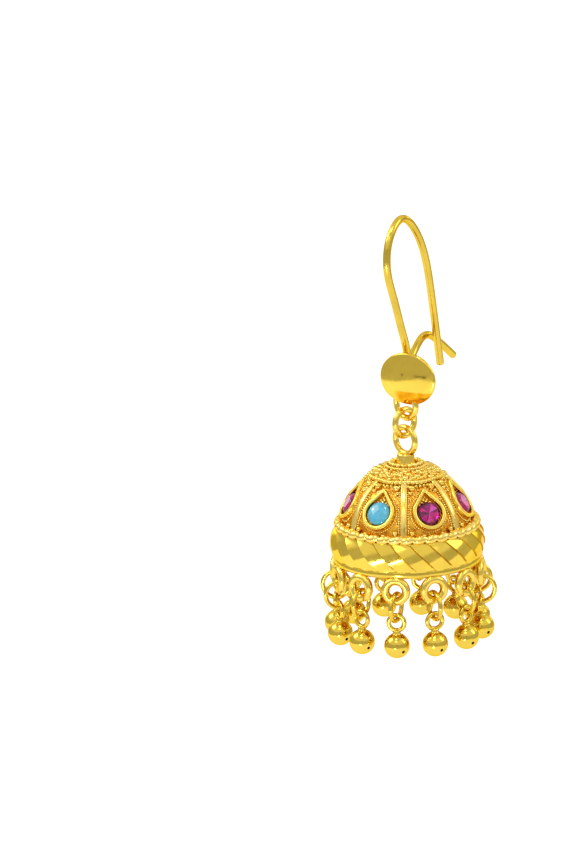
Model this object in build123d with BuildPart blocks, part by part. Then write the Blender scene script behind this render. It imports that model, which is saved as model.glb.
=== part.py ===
from build123d import *
import os
from math import asin, cos, degrees, radians, sin, sqrt

# Jhumka earring: a hollow bell with seven set stones and twelve ball drops, hung by a chain of
# three links from a polished disc on an ear wire.
#
# Frame, in millimetres: +Z is up, and the origin is the underside of the ear wire's arch, where
# the earring hangs in the ear. The ear wire lies in the YZ plane and the disc faces -Y. A turn is
# an angle around the bell's axis, measured from -Y towards +X.

# Ear wire and catch
wire_d = 0.9
wire_start_z = -17.6
wire_end_round = 0.18
solder_y = 0.85
catch_offset = 1.15

# Polished disc
disc_width = 7.15
disc_height = 6.1
disc_x = 0.86
disc_z = -17.9
disc_front_y = -1.3
disc_back_y = -0.38
disc_bulge_radius = 11.0
disc_bevel_z = -1.85
disc_bevel_slope = 0.52
lug_x = -0.1
lug_r = 0.9

# Chain of three equal links
link_mean_r = 1.53
link_wire_d = 0.74
link_room = 0.2
chain_turn = -15.0
loop_x = 0.2
loop_z = -21.15

# Dome and cap, two shells round one centre
lip_z = -39.45
dome_center_z = -36.0
dome_r = 7.45
dome_inner_r = 6.7
dome_skirt = 0.2
cap_r = 7.85
cap_lean = 31.0
cap_border_d = 0.55
stem_r = 1.0
stem_base_r = 1.4
stem_top_z = -26.95
stem_base_z = -28.3
stem_neck_z = -27.7
stem_flare_radius = 0.9

# Rope ring and band, heights above the lip
rope_height = 4.4
rope_mean_r = 7.9
rope_d = 1.0
band_top_height = 4.1
band_top_r = 8.2
belly_height = 1.95
belly_r = 9.0
cuff_height = 0.75
cuff_r = 8.6
lip_inner_r = 7.9
lip_round_height = 0.3
cut_count = 24
cut_radius = 4.0
cut_depth = 0.26
cut_length = 6.0
cut_slant = 45.0

# Settings
stone_count = 7
first_stone_turn = 1.0
bezel_tilt = 33.0
bezel_outer_r = 1.98
bezel_inner_r = 1.52
bezel_length = 2.95
bezel_tip_r = 0.12
bezel_point_wall = 0.56
bezel_rise = 0.34
bezel_root = 0.8
seat_depth = 0.3
stone_drop = 0.55
stone_r = 1.38
stone_base = -0.22
girdle_height = 0.25
crown_height = 0.45
table_r = 0.8
facet_count = 16
cabochon_rise = 0.5
smooth_stones = (1, 4, 6)

# Ribs between the settings
rib_width = 0.8
rib_r = 7.84
rib_root = 0.2
rib_under_cap = 0.3

# Tassels
drop_count = 12
first_drop_turn = 20.0
rim_ring_radius = 8.45
rim_ring_mean_r = 1.2
rim_ring_wire_d = 0.98
rim_ring_drop = 1.4
jump_ring_mean_r = 1.57
jump_ring_wire_d = 0.54
jump_ring_turns = (6.0, -14.0)
eye_mean_r = 0.9
eye_wire_d = 0.54
ring_room = 0.1
ball_r = 1.47
ball_drop_length = 2.7
neck_r = 0.42
neck_length = 0.35
vent_d = 0.34
vent_depth = 0.6
vent_direction = (0.84, -0.45, -0.3)

os.makedirs("parts", exist_ok=True)


def outward(turn):
    """Horizontal direction away from the bell's axis."""
    return Vector(sin(radians(turn)), -cos(radians(turn)), 0)


def along(turn):
    """Horizontal direction round the bell, towards growing turns."""
    return Vector(cos(radians(turn)), sin(radians(turn)), 0)


def ring_plane(center, turn):
    """Upright plane at a point, facing a turn."""
    return Plane(origin=center, x_dir=along(turn), z_dir=outward(turn))


def setting_plane(turn, rise):
    """Plane through a setting's axis, a rise above the dome, with y_dir up the dome."""
    tilt = radians(bezel_tilt)
    facing = outward(turn) * cos(tilt) + Vector(0, 0, sin(tilt))
    up = Vector(0, 0, cos(tilt)) - outward(turn) * sin(tilt)
    center = Vector(0, 0, dome_center_z) + facing * (dome_r + rise) - up * stone_drop
    return Plane(origin=center, x_dir=along(turn), z_dir=facing)


def wall_plane(turn, radius, height):
    """Plane outside the band whose z_dir runs down the slant of one cut."""
    slant = radians(cut_slant)
    down = along(turn) * cos(slant) - Vector(0, 0, sin(slant))
    return Plane(origin=outward(turn) * radius + Vector(0, 0, lip_z + height),
                 x_dir=outward(turn), z_dir=down)


def teardrop(radius, length):
    """Round at the bottom, pointed upwards, in the sketch being built."""
    Circle(radius)
    with Locations((0, length - bezel_tip_r)):
        Circle(bezel_tip_r)
    make_hull()


# ---- Ear wire, catch, disc and its loop: one soldered piece ----
wire_centers = [
    (0, solder_y, wire_start_z),
    (0, 0.8, -15.2),
    (0, -0.25, -12.3),
    (0, -1.8, -8.5),
    (0, -3.2, -4.6),
    (0, -2.4, -1.15),
    (0, 0, wire_d / 2),
    (0, 3.5, -1.65),
    (0, 5.7, -5.7),
    (0, 6.9, -10.5),
    (0, 8.5, -18.4),
]
catch_centers = [
    (-0.35, solder_y, wire_start_z),
    (-0.5, 2.9, -16.1),
    (-catch_offset, 7.6, -14.8),
    (-catch_offset, 10.4, -16.3),
    (-catch_offset, 13.6, -18.6),
]

with BuildPart() as disc:
    with BuildSketch(Plane.XZ.offset(-disc_back_y)):
        with Locations((disc_x, disc_z)):
            Ellipse(disc_width / 2, disc_height / 2)
    extrude(amount=disc_back_y - disc_front_y)
    with Locations((disc_x, disc_front_y + disc_bulge_radius, disc_z)):
        Sphere(disc_bulge_radius, mode=Mode.INTERSECT)
    # Flat bevel along the lower edge of the front
    bevel_y = disc_front_y + disc_bulge_radius - sqrt(disc_bulge_radius**2 - disc_bevel_z**2)
    with Locations(Plane(origin=(disc_x, bevel_y, disc_z + disc_bevel_z), x_dir=(1, 0, 0),
                         z_dir=(0, -1, -disc_bevel_slope))):
        Box(disc_width, disc_height, disc_height, align=(Align.CENTER, Align.CENTER, Align.MIN),
            mode=Mode.SUBTRACT)
    # Solder lug behind the disc, round the ends of both wires
    with BuildSketch(Plane.XZ.offset(-disc_back_y)):
        with Locations((lug_x, wire_start_z)):
            Circle(lug_r)
    extrude(amount=disc_back_y - solder_y)

with BuildPart() as ear_hook:
    with BuildLine() as wire_line:
        Spline(*wire_centers)
    with BuildSketch(Plane(origin=wire_line.line @ 0, z_dir=wire_line.line % 0)):
        Circle(wire_d / 2)
    sweep()
    free_end = ear_hook.faces().sort_by_distance(wire_line.line @ 1)[0]
    fillet(free_end.edges(), wire_end_round)
    with BuildLine() as catch_line:
        Spline(*catch_centers)
    with BuildSketch(Plane(origin=catch_line.line @ 0, z_dir=catch_line.line % 0)):
        Circle(wire_d / 2)
    sweep(path=catch_line.line)
    catch_end = ear_hook.faces().sort_by_distance(catch_line.line @ 1)[0]
    fillet(catch_end.edges(), wire_end_round)
    add(disc.part)
    with Locations(ring_plane((loop_x, 0, loop_z), chain_turn)):
        Torus(link_mean_r, link_wire_d / 2)
ear_hook.part.label = "ear_hook"
export_step(ear_hook.part, "parts/ear_hook.step")

# ---- Free link of the chain, square to the loops above and below it ----
link_pitch = 2 * link_mean_r - link_wire_d - link_room
top_link_z = loop_z - link_pitch
bell_loop_z = top_link_z - link_pitch

with BuildPart(ring_plane((0, 0, top_link_z), chain_turn + 90)) as top_link:
    Torus(link_mean_r, link_wire_d / 2)
top_link.part.label = "top_link"
export_step(top_link.part, "parts/top_link.step")

# ---- Bell: one soldered piece ----
x_axis_turn = 90.0
stone_pitch = 360 / stone_count
first_rib_turn = first_stone_turn + stone_pitch / 2
setting_turns = [first_stone_turn + stone_pitch * k for k in range(stone_count)]
drop_turns = [first_drop_turn + 360 / drop_count * k for k in range(drop_count)]
dome_center = (0, dome_center_z)
band_top = (band_top_r, lip_z + band_top_height)
belly = (belly_r, lip_z + belly_height)
cuff_top = (cuff_r, lip_z + cuff_height)
cuff_bottom = (cuff_r, lip_z + lip_round_height)
lip_inside = (lip_inner_r, lip_z + lip_round_height)
lip_round = (lip_inner_r + cuff_r) / 2
dome_foot_angle = degrees(asin((lip_z + band_top_height - dome_center_z) / dome_r))

with BuildPart() as strap:
    with BuildSketch(Plane.XZ):
        with Locations(dome_center):
            Circle(rib_r)
            Circle(dome_r - rib_root, mode=Mode.SUBTRACT)
        with Locations((cap_r * sin(radians(cap_lean)) - rib_under_cap, lip_z + rope_height)):
            Rectangle(rib_r, cap_r, align=(Align.MIN, Align.MIN), mode=Mode.INTERSECT)
    extrude(amount=rib_width / 2, both=True)

with BuildPart() as bell:
    # Hollow wall: cap, dome, band and lip, then back up the inside
    with BuildSketch(Plane.XZ):
        with BuildLine():
            cap_arc = CenterArc(dome_center, cap_r, 90, -cap_lean)
            dome_arc = CenterArc(dome_center, dome_r, 90 - cap_lean, dome_foot_angle + cap_lean - 90)
            Line(cap_arc @ 1, dome_arc @ 0)
            Line(dome_arc @ 1, band_top)
            ThreePointArc(band_top, belly, cuff_top)
            Line(cuff_top, cuff_bottom)
            ThreePointArc(cuff_bottom, (lip_round, lip_z), lip_inside)
            Line(lip_inside, (lip_inner_r, lip_z + belly_height))
            Line((lip_inner_r, lip_z + belly_height), (dome_inner_r, dome_center_z + dome_skirt))
            inner_arc = CenterArc(dome_center, dome_inner_r, 0, 90)
            Line((dome_inner_r, dome_center_z + dome_skirt), inner_arc @ 0)
            Line(inner_arc @ 1, cap_arc @ 0)
        make_face()
    revolve(axis=Axis.Z)
    # Diamond-cut facets round the band
    with Locations(*[wall_plane(360 / cut_count * k, belly_r - cut_depth + cut_radius, belly_height)
                     for k in range(cut_count)]):
        Cylinder(cut_radius, cut_length, mode=Mode.SUBTRACT)
    # Rope ring over the band and raised border round the cap
    with Locations((0, 0, lip_z + rope_height)):
        Torus(rope_mean_r, rope_d / 2)
    with Locations((0, 0, dome_center_z + cap_r * cos(radians(cap_lean)))):
        Torus(cap_r * sin(radians(cap_lean)), cap_border_d / 2)
    # Ribs and teardrop bezels
    with PolarLocations(0, stone_count, start_angle=first_rib_turn - x_axis_turn):
        add(strap.part)
    for turn in setting_turns:
        with BuildSketch(setting_plane(turn, -bezel_root)):
            teardrop(bezel_outer_r, bezel_length)
        extrude(amount=bezel_root + bezel_rise)
    for turn in setting_turns:
        with BuildSketch(setting_plane(turn, -seat_depth)):
            teardrop(bezel_inner_r, bezel_length - bezel_point_wall)
        extrude(amount=seat_depth + bezel_rise, mode=Mode.SUBTRACT)
    # Stem and its loop
    with BuildSketch(Plane.XZ):
        with BuildLine():
            Polyline((stem_r, stem_neck_z), (stem_r, stem_top_z), (0, stem_top_z),
                     (0, stem_base_z), (stem_base_r, stem_base_z))
            RadiusArc((stem_base_r, stem_base_z), (stem_r, stem_neck_z), stem_flare_radius)
        make_face()
    revolve(axis=Axis.Z)
    with Locations(ring_plane((0, 0, bell_loop_z), chain_turn)):
        Torus(link_mean_r, link_wire_d / 2)
    # Rings soldered under the lip
    rim_ring_z = lip_z - rim_ring_drop
    with Locations(*[ring_plane(outward(turn) * rim_ring_radius + Vector(0, 0, rim_ring_z), turn)
                     for turn in drop_turns]):
        Torus(rim_ring_mean_r, rim_ring_wire_d / 2)
bell.part.label = "bell"
export_step(bell.part, "parts/bell.step")

# ---- Stones: three smooth ones and four cut ones with a table ----
cabochon_radius = (stone_r**2 + cabochon_rise**2) / (2 * cabochon_rise)

for number, turn in enumerate(setting_turns, start=1):
    seat = setting_plane(turn, stone_base)
    with BuildPart() as stone:
        if number in smooth_stones:
            with BuildSketch(seat):
                Circle(stone_r)
            extrude(amount=girdle_height + cabochon_rise)
            with Locations(seat.offset(girdle_height + cabochon_rise - cabochon_radius)):
                Sphere(cabochon_radius, mode=Mode.INTERSECT)
        else:
            with BuildSketch(seat):
                RegularPolygon(stone_r, facet_count)
            extrude(amount=girdle_height)
            with BuildSketch(seat.offset(girdle_height)):
                RegularPolygon(stone_r, facet_count)
            with BuildSketch(seat.offset(girdle_height + crown_height)):
                RegularPolygon(table_r, facet_count)
            loft()
    stone.part.label = f"stone_{number}"
    export_step(stone.part, f"parts/stone_{number}.step")

# ---- Tassels: a jump ring and a ball drop under each ring of the lip ----
rim_to_jump = rim_ring_mean_r + jump_ring_mean_r - (rim_ring_wire_d + jump_ring_wire_d) / 2 - ring_room
jump_to_eye = jump_ring_mean_r + eye_mean_r - (jump_ring_wire_d + eye_wire_d) / 2 - ring_room
jump_ring_z = rim_ring_z - rim_to_jump
eye_z = jump_ring_z - jump_to_eye
ball_z = eye_z - ball_drop_length

for number, turn in enumerate(drop_turns, start=1):
    middle = outward(turn) * rim_ring_radius
    jump_center = middle + Vector(0, 0, jump_ring_z)
    jump_turn = turn + 90 + jump_ring_turns[number % 2]
    with BuildPart(ring_plane(jump_center, jump_turn)) as jump_ring:
        Torus(jump_ring_mean_r, jump_ring_wire_d / 2)
    jump_ring.part.label = f"jump_ring_{number:02d}"
    export_step(jump_ring.part, f"parts/jump_ring_{number:02d}.step")

for number, turn in enumerate(drop_turns, start=1):
    middle = outward(turn) * rim_ring_radius
    ball_center = middle + Vector(0, 0, ball_z)
    vent_plane = Plane(origin=ball_center + Vector(*vent_direction) * ball_r, z_dir=vent_direction)
    with BuildPart() as ball_drop:
        with Locations(ball_center):
            Sphere(ball_r)
        with Locations(ball_center + Vector(0, 0, ball_r)):
            Cylinder(neck_r, 2 * neck_length)
        with Locations(ring_plane(middle + Vector(0, 0, eye_z), turn)):
            Torus(eye_mean_r, eye_wire_d / 2)
        with Locations(vent_plane):
            Cylinder(vent_d / 2, 2 * vent_depth, mode=Mode.SUBTRACT)
    ball_drop.part.label = f"ball_drop_{number:02d}"
    export_step(ball_drop.part, f"parts/ball_drop_{number:02d}.step")
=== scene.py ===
"""Looks of a jhumka earring: an ear wire with a polished disc, a chain and a granulated bell with seven
stones and twelve ball drops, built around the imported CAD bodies.

Sizes inside the functions are millimetres in the CAD frame: +Z up, the origin under the ear wire's arch.
A turn is an angle in degrees round the bell's axis, from -Y towards +X. A rise is an angle above the level
and a lean one away from straight up, both in degrees.
"""

from functools import cache
from math import cos, degrees, pi, radians, sin, sqrt

import bpy
import numpy as np
from bpy.props import FloatProperty, FloatVectorProperty, IntProperty, PointerProperty
from mathutils import Matrix, Vector


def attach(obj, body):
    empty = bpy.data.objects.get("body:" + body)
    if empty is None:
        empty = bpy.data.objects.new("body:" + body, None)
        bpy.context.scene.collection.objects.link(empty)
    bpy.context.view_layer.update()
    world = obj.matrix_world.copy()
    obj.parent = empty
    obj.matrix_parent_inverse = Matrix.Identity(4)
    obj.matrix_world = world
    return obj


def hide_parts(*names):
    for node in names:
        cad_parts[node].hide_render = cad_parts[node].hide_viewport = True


bl_info = {
    "name": "Jhumka earring",
    "version": (1, 0, 0),
    "blender": (4, 5, 0),
    "location": "3D View > Sidebar > Jhumka",
    "description": "Builds a granulated bell earring with stones and ball drops",
    "category": "Add Mesh",
}

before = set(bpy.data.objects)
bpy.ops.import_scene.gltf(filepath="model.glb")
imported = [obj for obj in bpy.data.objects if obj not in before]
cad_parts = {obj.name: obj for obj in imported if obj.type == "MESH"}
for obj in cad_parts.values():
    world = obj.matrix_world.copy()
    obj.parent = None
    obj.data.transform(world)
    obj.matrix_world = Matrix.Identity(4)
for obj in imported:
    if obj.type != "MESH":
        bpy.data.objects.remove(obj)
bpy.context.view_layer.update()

MM = 0.001
UP = np.array([0.0, 0.0, 1.0])
SIDEWAYS = np.array([1.0, 0.0, 0.0])

# Ear wire, catch and disc
WIRE_END_ROUND = 0.18
WIRE_CENTRES = [(0, 0.85, -17.6), (0, 0.8, -15.2), (0, -0.25, -12.3), (0, -1.8, -8.5), (0, -3.2, -4.6),
                (0, -2.4, -1.15), (0, 0, 0.45), (0, 3.5, -1.65), (0, 5.7, -5.7), (0, 6.9, -10.5),
                (0, 8.5, -18.4)]
CATCH_CENTRES = [(-0.35, 0.85, -17.6), (-0.5, 2.9, -16.1), (-1.15, 7.6, -14.8), (-1.15, 10.4, -16.3),
                 (-1.15, 13.6, -18.6)]
DISC_X, DISC_Z = 0.86, -17.9
DISC_FRONT_Y, DISC_BACK_Y = -1.3, -0.38
DISC_BEVEL_Z, DISC_BEVEL_SLOPE = -1.85, 0.3
# Rows round the disc's edge and over its back: how far across the disc, and how far from front to back
DISC_EDGE = [(0.972, 0.02), (0.99, 0.13), (0.998, 0.32), (1, 0.5), (0.998, 0.7), (0.99, 0.88), (0.97, 1),
             (0.8, 1), (0.4, 1)]
# Painted reflection on the disc: orange past this place across and below this height
FLUSH_START_X, FLUSH_TOP_Z = -0.4, -19.3
LUG_X, LUG_Z, LUG_R, LUG_END_Y = -0.1, -17.6, 0.9, 0.85
# Rows along the lump of solder behind the disc: how wide, and how far towards its end
LUG_ROWS = [(1.15, -0.1), (1.02, 0.02), (0.95, 0.2), (0.9, 0.5), (0.88, 0.75), (0.8, 0.9), (0.6, 1)]

# Chain
LINK_ROOM = 0.2
CHAIN_TURN = -15.0
LOOP_X, LOOP_Z = 0.2, -21.15

# Bell
LIP_Z = -39.45
DOME_CENTRE = np.array([0.0, 0.0, -36.0])
DOME_INNER_R = 6.7
CAP_R, CAP_UNDER_R, CAP_LEAN = 7.8, 7.4, 31.0
CAP_GRANULES, GRANULE_LEANS = 250, (15.5, 29.5)
# Granules under the cap's border: how many, radius, lean past the border, height over the dome
SCALLOPS, SCALLOP_R, SCALLOP_LEAN, SCALLOP_HEIGHT = 56, 0.24, 3.1, 0.1
STEM_PROFILE = [(0.72, -26.8), (0.92, -26.88), (1.0, -27.1), (1.0, -27.6), (1.04, -27.9), (1.2, -28.14),
                (1.42, -28.3), (1.42, -28.6)]
COLLAR_BALLS, COLLAR_BALL_R, COLLAR_R, COLLAR_Z = 16, 0.33, 1.72, -28.02
COLLAR_WIRE_R, COLLAR_WIRE_Z = 2.25, -28.22
ROPE_HEIGHT, ROPE_MEAN_R = 4.4, 7.9
SEAM_MEAN_R, SEAM_THICKNESS = 8.17, 0.11

# Band: points of its profile as (radius, height over the lip)
BAND_TOP, BELLY, CUFF_TOP = (8.2, 4.1), (9.0, 1.95), (8.6, 0.75)
LIP_INNER_R, LIP_ROUND = 7.9, 0.3
BAND_LEDGE = [(7.3, 4.1), (8.12, 4.1), (8.18, 4.08)]
BAND_INSIDE = [(LIP_INNER_R, 0.75), (LIP_INNER_R, 1.95), (6.75, 3.6)]
CUFF_SHOULDER = [(LIP_INNER_R, 0.8), (8.5, 0.8), (8.57, 0.78), (8.6, 0.72)]
CUT_RADIUS, CUT_TILT, CUT_TILT_SPREAD = 5.0, 0.085, 0.025

# Ribs and their beads
RIB_FOOT_RISE, RIB_TOP_RISE, RIB_TAPER = 6, 58, 0.12
RIB_OVER_DOME, RIB_HALF_THICKNESS = 0.1, 0.29
RIB_BEADS, RIB_BEAD_R, RIB_BEAD_RISES = 19, 0.14, (13, 50)
# Big granules beside each rib: rise, distance from the rib's middle, radius
RIB_GRANULES = np.array([(53.6, 0.86, 0.4), (48.8, 0.72, 0.24), (12.5, 0.98, 0.33), (10.5, 2.35, 0.24)])
# Fine granules tried at random places, and how far those that are kept stay from the ribs and the bezels
FINE_GRANULES, FINE_GRANULE_ROOM = 5200, 0.3

# Settings
STONES = 7
FIRST_STONE_TURN = 1.0
BEZEL_TILT = 33.0
BEZEL_TIP_R, BEZEL_POINT_WALL = 0.12, 0.56
STONE_DROP = 0.55
STONE_BASE, GIRDLE_HEIGHT, CROWN_HEIGHT, TABLE_R = -0.22, 0.25, 0.45, 0.8
SEAT_DEPTH, WELL_DEPTH, SMOOTH_RISE = 0.3, 0.68, 0.5
BEZEL_FOOT, BEZEL_ROUND = 0.7, 0.2
BEZEL_BEADS, BEZEL_BEAD_R, BEZEL_BEAD_GAP = 54, 0.13, 0.14
# Granules inside a bezel's point: place across, place up, radius
POINT_GRANULES = np.array([(0, 2.0, 0.15), (-0.24, 1.66, 0.19), (0.22, 1.7, 0.18), (-0.5, 1.38, 0.17),
                           (0.52, 1.36, 0.16), (0.02, 1.45, 0.2), (-0.78, 1.14, 0.13), (0.8, 1.12, 0.13)])
SMOOTH_STONES = (1, 4, 6)
# Painted light: the foil under these stones is painted brighter, by how much its darkest facet is lifted
FOIL_LIFT = {3: 0.5, 7: 0.5}
STONE_TURNS = FIRST_STONE_TURN + 360 / STONES * np.arange(STONES)
RIB_TURNS = STONE_TURNS + 180 / STONES

# Tassels
DROPS = 12
DROP_TURNS = 20.0 + 360 / DROPS * np.arange(DROPS)
RIM_RING_RADIUS, RIM_RING_DROP = 8.45, 1.4
JUMP_RING_TURNS = (6.0, -14.0)
RING_ROOM = 0.1
NECK_R, BALL_DROP_LENGTH = 0.42, 2.7
VENT_R, VENT_DEPTH = 0.17, 0.6
VENT_DIRECTION = np.array([0.84, -0.45, -0.3])

# Stage, in metres. The light table's half width, its reach towards the camera and behind the earring, and how
# far under the origin it lies
TABLE_HALF_WIDTH, TABLE_FRONT, TABLE_BACK, TABLE_DROP = 0.42, 0.5, 4.0, 0.15
TARGET = Vector((0, 0, -0.0244))
# Softboxes: name, turn, rise, distance, how bright they look, width and height
SOFTBOXES = (("softbox_left", -66, 42, 0.7, 2.6, 0.42, 0.34), ("softbox_right", 118, 34, 0.7, 1.5, 0.3, 0.4),
             ("softbox_front", 20, 48, 0.8, 1.5, 0.3, 0.16),
             ("softbox_back_left", -123, 6, 0.7, 1.3, 0.3, 0.16),
             ("softbox_back_right", 173, 10, 0.7, 1.0, 0.3, 0.16))
# Small bare lamps for the sparkle: name, turn, rise, distance, how bright they look and width
LAMPS = (("lamp_top", 12, 72, 0.7, 20.0, 0.1), ("lamp_left", -72, 36, 0.7, 36.0, 0.07),
         ("lamp_low", 15, -19, 0.35, 26.0, 0.05))
BAND_LAMP = ("lamp_band", -5, -17, 0.2, 34.0, 0.03)
# Black cards: name, turn, rise, distance, width and height
CARDS = (("card_camera", 30, 14, 0.75, 0.07, 0.16), ("card_left", -33, -8, 0.6, 0.03, 0.02),
         ("card_right", -9, -8.5, 0.6, 0.17, 0.016))
# Collection of what the band's lamp lights: the cut band alone
BAND_GLINT = "lit_by_lamp_band"


# ---- Directions ----
def outward(turn):
    """Level direction away from the bell's axis: the sine of the turn along X, minus its cosine along Y."""
    a = np.radians(turn)
    return np.stack([np.sin(a), -np.cos(a), 0 * a], -1)


def along(turn):
    """Level direction round the bell, towards growing turns: the cosine along X, the sine along Y."""
    a = np.radians(turn)
    return np.stack([np.cos(a), np.sin(a), 0 * a], -1)


def on_dome(turn, rise, radius):
    """Point at a turn, a rise and a distance from the dome's centre."""
    e = np.radians(rise)
    flat = np.cos(e)[..., None] * outward(turn)
    return DOME_CENTRE + np.asarray(radius)[..., None] * (flat + np.sin(e)[..., None] * UP)


def setting_frame(turn):
    """Middle of a setting on the dome, and its axes: round the bell, up the dome and out of it."""
    tilt = radians(BEZEL_TILT)
    facing = outward(turn) * cos(tilt) + UP * sin(tilt)
    upward = UP * cos(tilt) - outward(turn) * sin(tilt)
    centre = DOME_CENTRE + facing * bell().dome_radius / MM - upward * STONE_DROP
    return centre, np.array([along(turn), upward, facing])


# ---- Shapes: a shape is its points, its quads and its triangles ----
def skin(points, loop=False):
    """Faces over a grid of points. The second way round always closes; the first closes in a loop, or each of
    its ends is filled by a fan to the middle of the end row. Faces look to first way x second way."""
    rows, columns = points.shape[:2]
    index = np.arange(rows * columns).reshape(rows, columns)
    here, below = (index, np.roll(index, -1, 0)) if loop else (index[:-1], index[1:])
    quads = np.stack([here, below, np.roll(below, -1, 1), np.roll(here, -1, 1)], -1).reshape(-1, 4)
    vertices, fans = points.reshape(-1, 3), np.zeros((0, 3), int)
    if not loop:
        top, foot = np.full(columns, rows * columns), np.full(columns, rows * columns + 1)
        vertices = np.vstack([vertices, points[0].mean(0), points[-1].mean(0)])
        fans = np.vstack([np.stack([top, index[0], np.roll(index[0], -1)], -1),
                          np.stack([foot, np.roll(index[-1], -1), index[-1]], -1)])
    return vertices, quads, fans


def joined(shapes):
    """One shape from several: their points one after another, with the faces' numbers moved up to match."""
    starts = np.cumsum([0] + [len(s[0]) for s in shapes])
    return (np.vstack([s[0] for s in shapes]), np.vstack([s[1] + n for s, n in zip(shapes, starts)]),
            np.vstack([s[2] + n for s, n in zip(shapes, starts)]))


def copies(shape, centres, sizes=1.0, axes=None):
    """A copy of a shape at each centre: its points times the size, turned to the axes, plus the centre."""
    points, quads, fans = shape
    centres = np.atleast_2d(centres)
    placed = points[None] * np.broadcast_to(sizes, len(centres))[:, None, None]
    if axes is not None:
        placed = np.einsum("kpi,kij->kpj", placed, np.broadcast_to(axes, (len(centres), 3, 3)))
    placed = placed + centres[:, None]
    shift = (np.arange(len(centres)) * len(points))[:, None, None]
    return placed.reshape(-1, 3), (quads[None] + shift).reshape(-1, 4), (fans[None] + shift).reshape(-1, 3)


def turned(profile, columns=192, loop=False):
    """Profile of (radius, height) carried round the bell's axis: down the outside, up the inside."""
    profile = np.asarray(profile, float)
    turns = np.arange(columns) * 360 / columns
    radius = profile[:, :1] + np.zeros(columns)
    return skin(radius[..., None] * outward(turns) + profile[:, 1:2, None] * UP, loop)


def tube(path, radius, reference, sides=24, loop=False):
    """Circle carried along a path: path + radius (S cos a + O sin a), where S is the reference made square to
    the path's direction T and O is S x T. The radius may change along the path and round the circle."""
    ahead = np.roll(path, -1, 0) - np.roll(path, 1, 0) if loop else np.gradient(path, axis=0)
    direction = ahead / np.linalg.norm(ahead, axis=1, keepdims=True)
    side = reference - (direction @ reference)[:, None] * direction
    side /= np.linalg.norm(side, axis=1, keepdims=True)
    other = np.cross(side, direction)
    a = np.arange(sides) * 2 * pi / sides
    round_ = side[:, None] * np.cos(a)[:, None] + other[:, None] * np.sin(a)[:, None]
    radius = np.broadcast_to(np.asarray(radius, float), (len(path), sides))
    return skin(path[:, None] + radius[..., None] * round_, loop)


def ring(centre, turn, mean_r, wire_r, segments=72, sides=20):
    """Closed ring of round wire in an upright plane that faces a turn: a circle of the mean radius, made a
    tube."""
    s = np.arange(segments) * 2 * pi / segments
    path = centre + mean_r * (np.cos(s)[:, None] * along(turn) + np.sin(s)[:, None] * UP)
    return tube(path, wire_r, outward(turn), sides, loop=True)


def smooth_path(centres, count=600):
    """Natural cubic spline through the centres, by chord length: its second derivatives solve one band of
    linear equations, and it is sampled evenly."""
    knots = np.array(centres, float)
    t = np.concatenate([[0], np.cumsum(np.linalg.norm(np.diff(knots, axis=0), axis=1))])
    h, n = np.diff(t), len(knots)
    band, right = np.eye(n), np.zeros((n, 3))
    inner = np.arange(1, n - 1)
    band[inner, inner - 1], band[inner, inner], band[inner, inner + 1] = h[:-1], 2 * (h[:-1] + h[1:]), h[1:]
    slope = np.diff(knots, axis=0) / h[:, None]
    right[1:-1] = 6 * np.diff(slope, axis=0)
    bend = np.linalg.solve(band, right)
    u = np.linspace(0, t[-1], count)
    k = np.clip(np.searchsorted(t, u, side="right") - 1, 0, n - 2)
    left, rest, w = (u - t[k])[:, None], (t[k + 1] - u)[:, None], h[k][:, None]
    return ((bend[k] * rest**3 + bend[k + 1] * left**3) / (6 * w) + (knots[k] / w - bend[k] * w / 6) * rest
            + (knots[k + 1] / w - bend[k + 1] * w / 6) * left)


def wire(centres, radius, rows=220):
    """Round wire along a smooth path, its ends cut square and a little rounded: close to each end the radius
    follows a quarter circle of the rounding."""
    dense = smooth_path(centres)
    s = np.concatenate([[0], np.cumsum(np.linalg.norm(np.diff(dense, axis=0), axis=1))])
    quarter = np.linspace(0, pi / 2, 6)
    edge = WIRE_END_ROUND * (1 - np.sin(quarter[::-1]))
    rounded = radius - WIRE_END_ROUND + WIRE_END_ROUND * np.cos(quarter[::-1])
    stops = np.concatenate([edge, np.linspace(WIRE_END_ROUND, s[-1] - WIRE_END_ROUND, rows)[1:-1],
                            s[-1] - edge[::-1]])
    radii = np.concatenate([rounded, np.full(rows - 2, radius), rounded[::-1]])
    path = np.stack([np.interp(stops, s, dense[:, k]) for k in range(3)], -1)
    return tube(path, radii[:, None], SIDEWAYS)


def ball(columns, rows):
    """Ball of radius 1: rings of latitude between its two poles."""
    a = np.pi * (np.arange(rows) + 1) / (rows + 1)
    return turned(np.stack([np.sin(a), np.cos(a)], -1), columns)


def granules(centres, sizes):
    """Small solder balls, of a few dozen faces each."""
    return copies(ball(8, 4), centres, sizes)


def squared_off(wave, power):
    """Sine or cosine drawn out square: its sign x its size to a power below one."""
    return np.sign(wave) * np.abs(wave) ** power


def lobed_ring(mean_r, height, thickness, lobes, slant, depth, ripple=0.0):
    """Twisted wire laid round the bell: a tube whose radius rises and falls with the cosine of half the
    lobes' phase, lobes x turn + slant x cosine of the angle round the wire, which tilts the lobes. ripple
    moves the ring in and out once for each stone."""
    per_lobe, sides = 14, 20
    turns = np.arange(lobes * per_lobe) * 360 / (lobes * per_lobe)
    radius = mean_r + ripple * np.cos(np.radians(STONES * (turns - FIRST_STONE_TURN)))
    path = radius[:, None] * outward(turns) + height * UP
    a = np.arange(sides) * 2 * pi / sides
    swell = np.abs(np.cos((np.radians(turns)[:, None] * lobes + slant * np.cos(a)) / 2)) ** 0.6
    return tube(path, thickness / 2 * (1 - depth + depth * swell), UP, sides, loop=True)


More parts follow.
